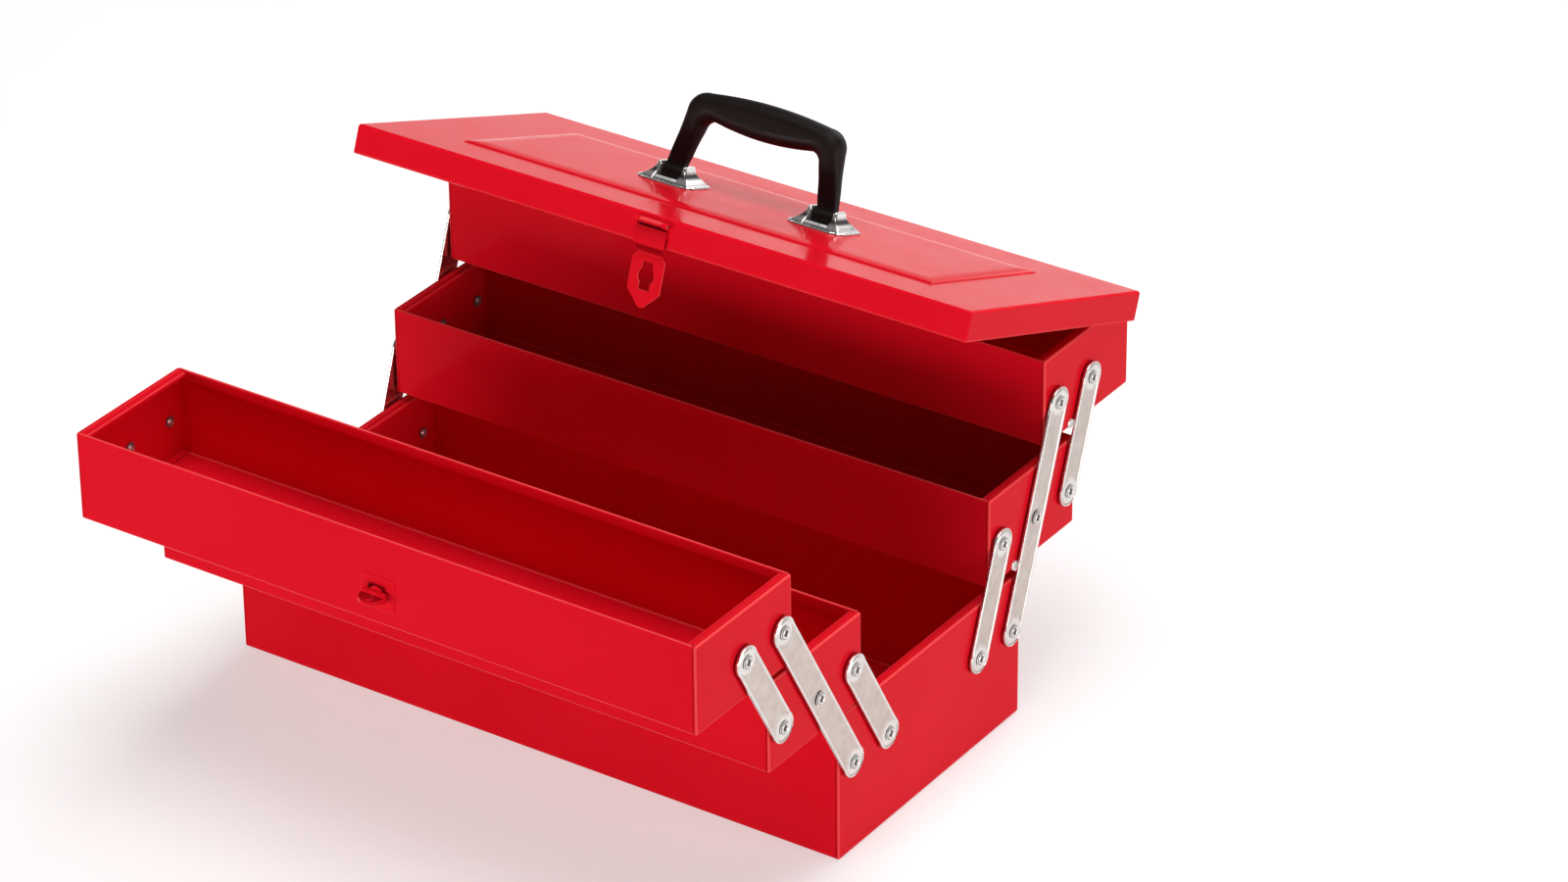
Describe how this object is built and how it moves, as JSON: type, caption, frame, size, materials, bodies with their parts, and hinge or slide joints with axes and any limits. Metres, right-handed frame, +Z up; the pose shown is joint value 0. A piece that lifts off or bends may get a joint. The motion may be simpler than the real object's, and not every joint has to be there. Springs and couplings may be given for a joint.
{
  "type": "cantilever tool box",
  "caption": "Steel cantilever tool box: a deep base, tiered trays on parallel links that swing out front and rear, and a hinged lid with carrying handle, hasp and turn catch.",
  "frame": {"origin": "middle of the base's flat underside", "axes": "+X along the box towards its right end seen from the front, -Y towards the front, +Z up"},
  "size_m": [0.4696, 0.5089, 0.3391],
  "materials": {
    "red_enamel": "gloss red enamel",
    "zinc_steel": "bright zinc plate",
    "chrome_plate": "polished chrome plate",
    "black_plastic": "satin black moulding"
  },
  "bodies": {
    "base": {"base_tub": "red_enamel", "base_end_left": "red_enamel", "base_end_right": "red_enamel", "base_rivets": "zinc_steel"},
    "front_long_links": {"front_long_link_left": "zinc_steel", "front_long_link_right": "zinc_steel"},
    "front_inner_links": {"front_inner_link_left": "zinc_steel", "front_inner_link_right": "zinc_steel"},
    "front_lower_tray": {"front_lower_tub": "red_enamel", "front_lower_end_left": "red_enamel", "front_lower_end_right": "red_enamel", "front_lower_rivets": "zinc_steel"},
    "front_outer_links": {"front_outer_link_left": "zinc_steel", "front_outer_link_right": "zinc_steel"},
    "front_upper_tray": {"front_upper_tub": "red_enamel", "front_upper_end_left": "red_enamel", "front_upper_end_right": "red_enamel", "front_upper_rivets": "zinc_steel", "staple": "red_enamel"},
    "turn_catch": {"turn_catch": "red_enamel"},
    "rear_long_links": {"rear_long_link_left": "zinc_steel", "rear_long_link_right": "zinc_steel"},
    "rear_inner_links": {"rear_inner_link_left": "zinc_steel", "rear_inner_link_right": "zinc_steel"},
    "rear_lower_tray": {"rear_lower_tub": "red_enamel", "rear_lower_end_left": "red_enamel", "rear_lower_end_right": "red_enamel", "rear_lower_rivets": "zinc_steel", "rear_lower_studs": "zinc_steel"},
    "rear_outer_links": {"rear_outer_link_left": "zinc_steel", "rear_outer_link_right": "zinc_steel"},
    "rear_upper_tray": {"rear_upper_tub": "red_enamel", "rear_upper_end_left": "red_enamel", "rear_upper_end_right": "red_enamel", "rear_upper_rivets": "zinc_steel", "rear_upper_studs": "zinc_steel", "tray_hinge_leaves": "red_enamel", "hinge_pins": "zinc_steel"},
    "lid": {"lid_panel": "red_enamel", "lid_hinge_leaves": "red_enamel", "handle_bracket_left": "chrome_plate", "handle_bracket_right": "chrome_plate", "handle_pins": "chrome_plate", "hasp_bracket": "red_enamel", "hasp_pin": "zinc_steel"},
    "handle": {"handle": "black_plastic"},
    "hasp": {"hasp": "red_enamel"}
  },
  "joints": [
    {"name": "front_fold", "type": "hinge", "parent": "base", "child": "front_long_links", "pos_m": [0, -0.0908, 0.0665], "axis": [-1, 0, 0], "range_deg": [0, 59.85]},
    {"name": "front_lower_level", "type": "hinge", "parent": "front_long_links", "child": "front_lower_tray", "pos_m": [0, -0.1281, 0.1313], "axis": [-1, 0, 0], "range_deg": [-59.85, 0]},
    {"name": "front_upper_level", "type": "hinge", "parent": "front_long_links", "child": "front_upper_tray", "pos_m": [0, -0.1654, 0.1961], "axis": [-1, 0, 0], "range_deg": [-59.85, 0]},
    {"name": "front_inner_fold", "type": "hinge", "parent": "base", "child": "front_inner_links", "pos_m": [0, -0.0518, 0.0665], "axis": [-1, 0, 0], "range_deg": [0, 59.85]},
    {"name": "front_outer_fold", "type": "hinge", "parent": "front_lower_tray", "child": "front_outer_links", "pos_m": [0, -0.1671, 0.1313], "axis": [-1, 0, 0], "range_deg": [0, 59.85]},
    {"name": "rear_fold", "type": "hinge", "parent": "base", "child": "rear_long_links", "pos_m": [0, 0.0908, 0.0665], "axis": [1, 0, 0], "range_deg": [0, 50.15]},
    {"name": "rear_lower_level", "type": "hinge", "parent": "rear_long_links", "child": "rear_lower_tray", "pos_m": [0, 0.11665, 0.13666], "axis": [1, 0, 0], "range_deg": [-50.15, 0]},
    {"name": "rear_upper_level", "type": "hinge", "parent": "rear_long_links", "child": "rear_upper_tray", "pos_m": [0, 0.1425, 0.20682], "axis": [1, 0, 0], "range_deg": [-50.15, 0]},
    {"name": "rear_inner_fold", "type": "hinge", "parent": "base", "child": "rear_inner_links", "pos_m": [0, 0.0518, 0.0665], "axis": [1, 0, 0], "range_deg": [0, 50.15]},
    {"name": "rear_outer_fold", "type": "hinge", "parent": "rear_lower_tray", "child": "rear_outer_links", "pos_m": [0, 0.15565, 0.13666], "axis": [1, 0, 0], "range_deg": [0, 50.15]},
    {"name": "lid_hinge", "type": "hinge", "parent": "rear_upper_tray", "child": "lid", "pos_m": [0, 0.2348, 0.21882], "axis": [-1, 0, 0], "range_deg": [-20.8, 79.2]},
    {"name": "handle_swing", "type": "hinge", "parent": "lid", "child": "handle", "pos_m": [0, 0.14424, 0.28595], "axis": [1, 0, 0], "range_deg": [-73, 87]},
    {"name": "hasp_swing", "type": "hinge", "parent": "lid", "child": "hasp", "pos_m": [0, 0.03595, 0.31318], "axis": [-1, 0, 0], "range_deg": [0, 150]},
    {"name": "catch_turn", "type": "hinge", "parent": "front_upper_tray", "child": "turn_catch", "pos_m": [0, -0.2527, 0.1909], "axis": [0, 1, 0], "range_deg": [0, 90]}
  ],
  "couplings": [
    {"joint": "front_lower_level", "follows": "front_fold", "ratio": -1},
    {"joint": "front_upper_level", "follows": "front_fold", "ratio": -1},
    {"joint": "front_inner_fold", "follows": "front_fold", "ratio": 1},
    {"joint": "front_outer_fold", "follows": "front_fold", "ratio": 1},
    {"joint": "rear_lower_level", "follows": "rear_fold", "ratio": -1},
    {"joint": "rear_upper_level", "follows": "rear_fold", "ratio": -1},
    {"joint": "rear_inner_fold", "follows": "rear_fold", "ratio": 1},
    {"joint": "rear_outer_fold", "follows": "rear_fold", "ratio": 1}
  ]
}
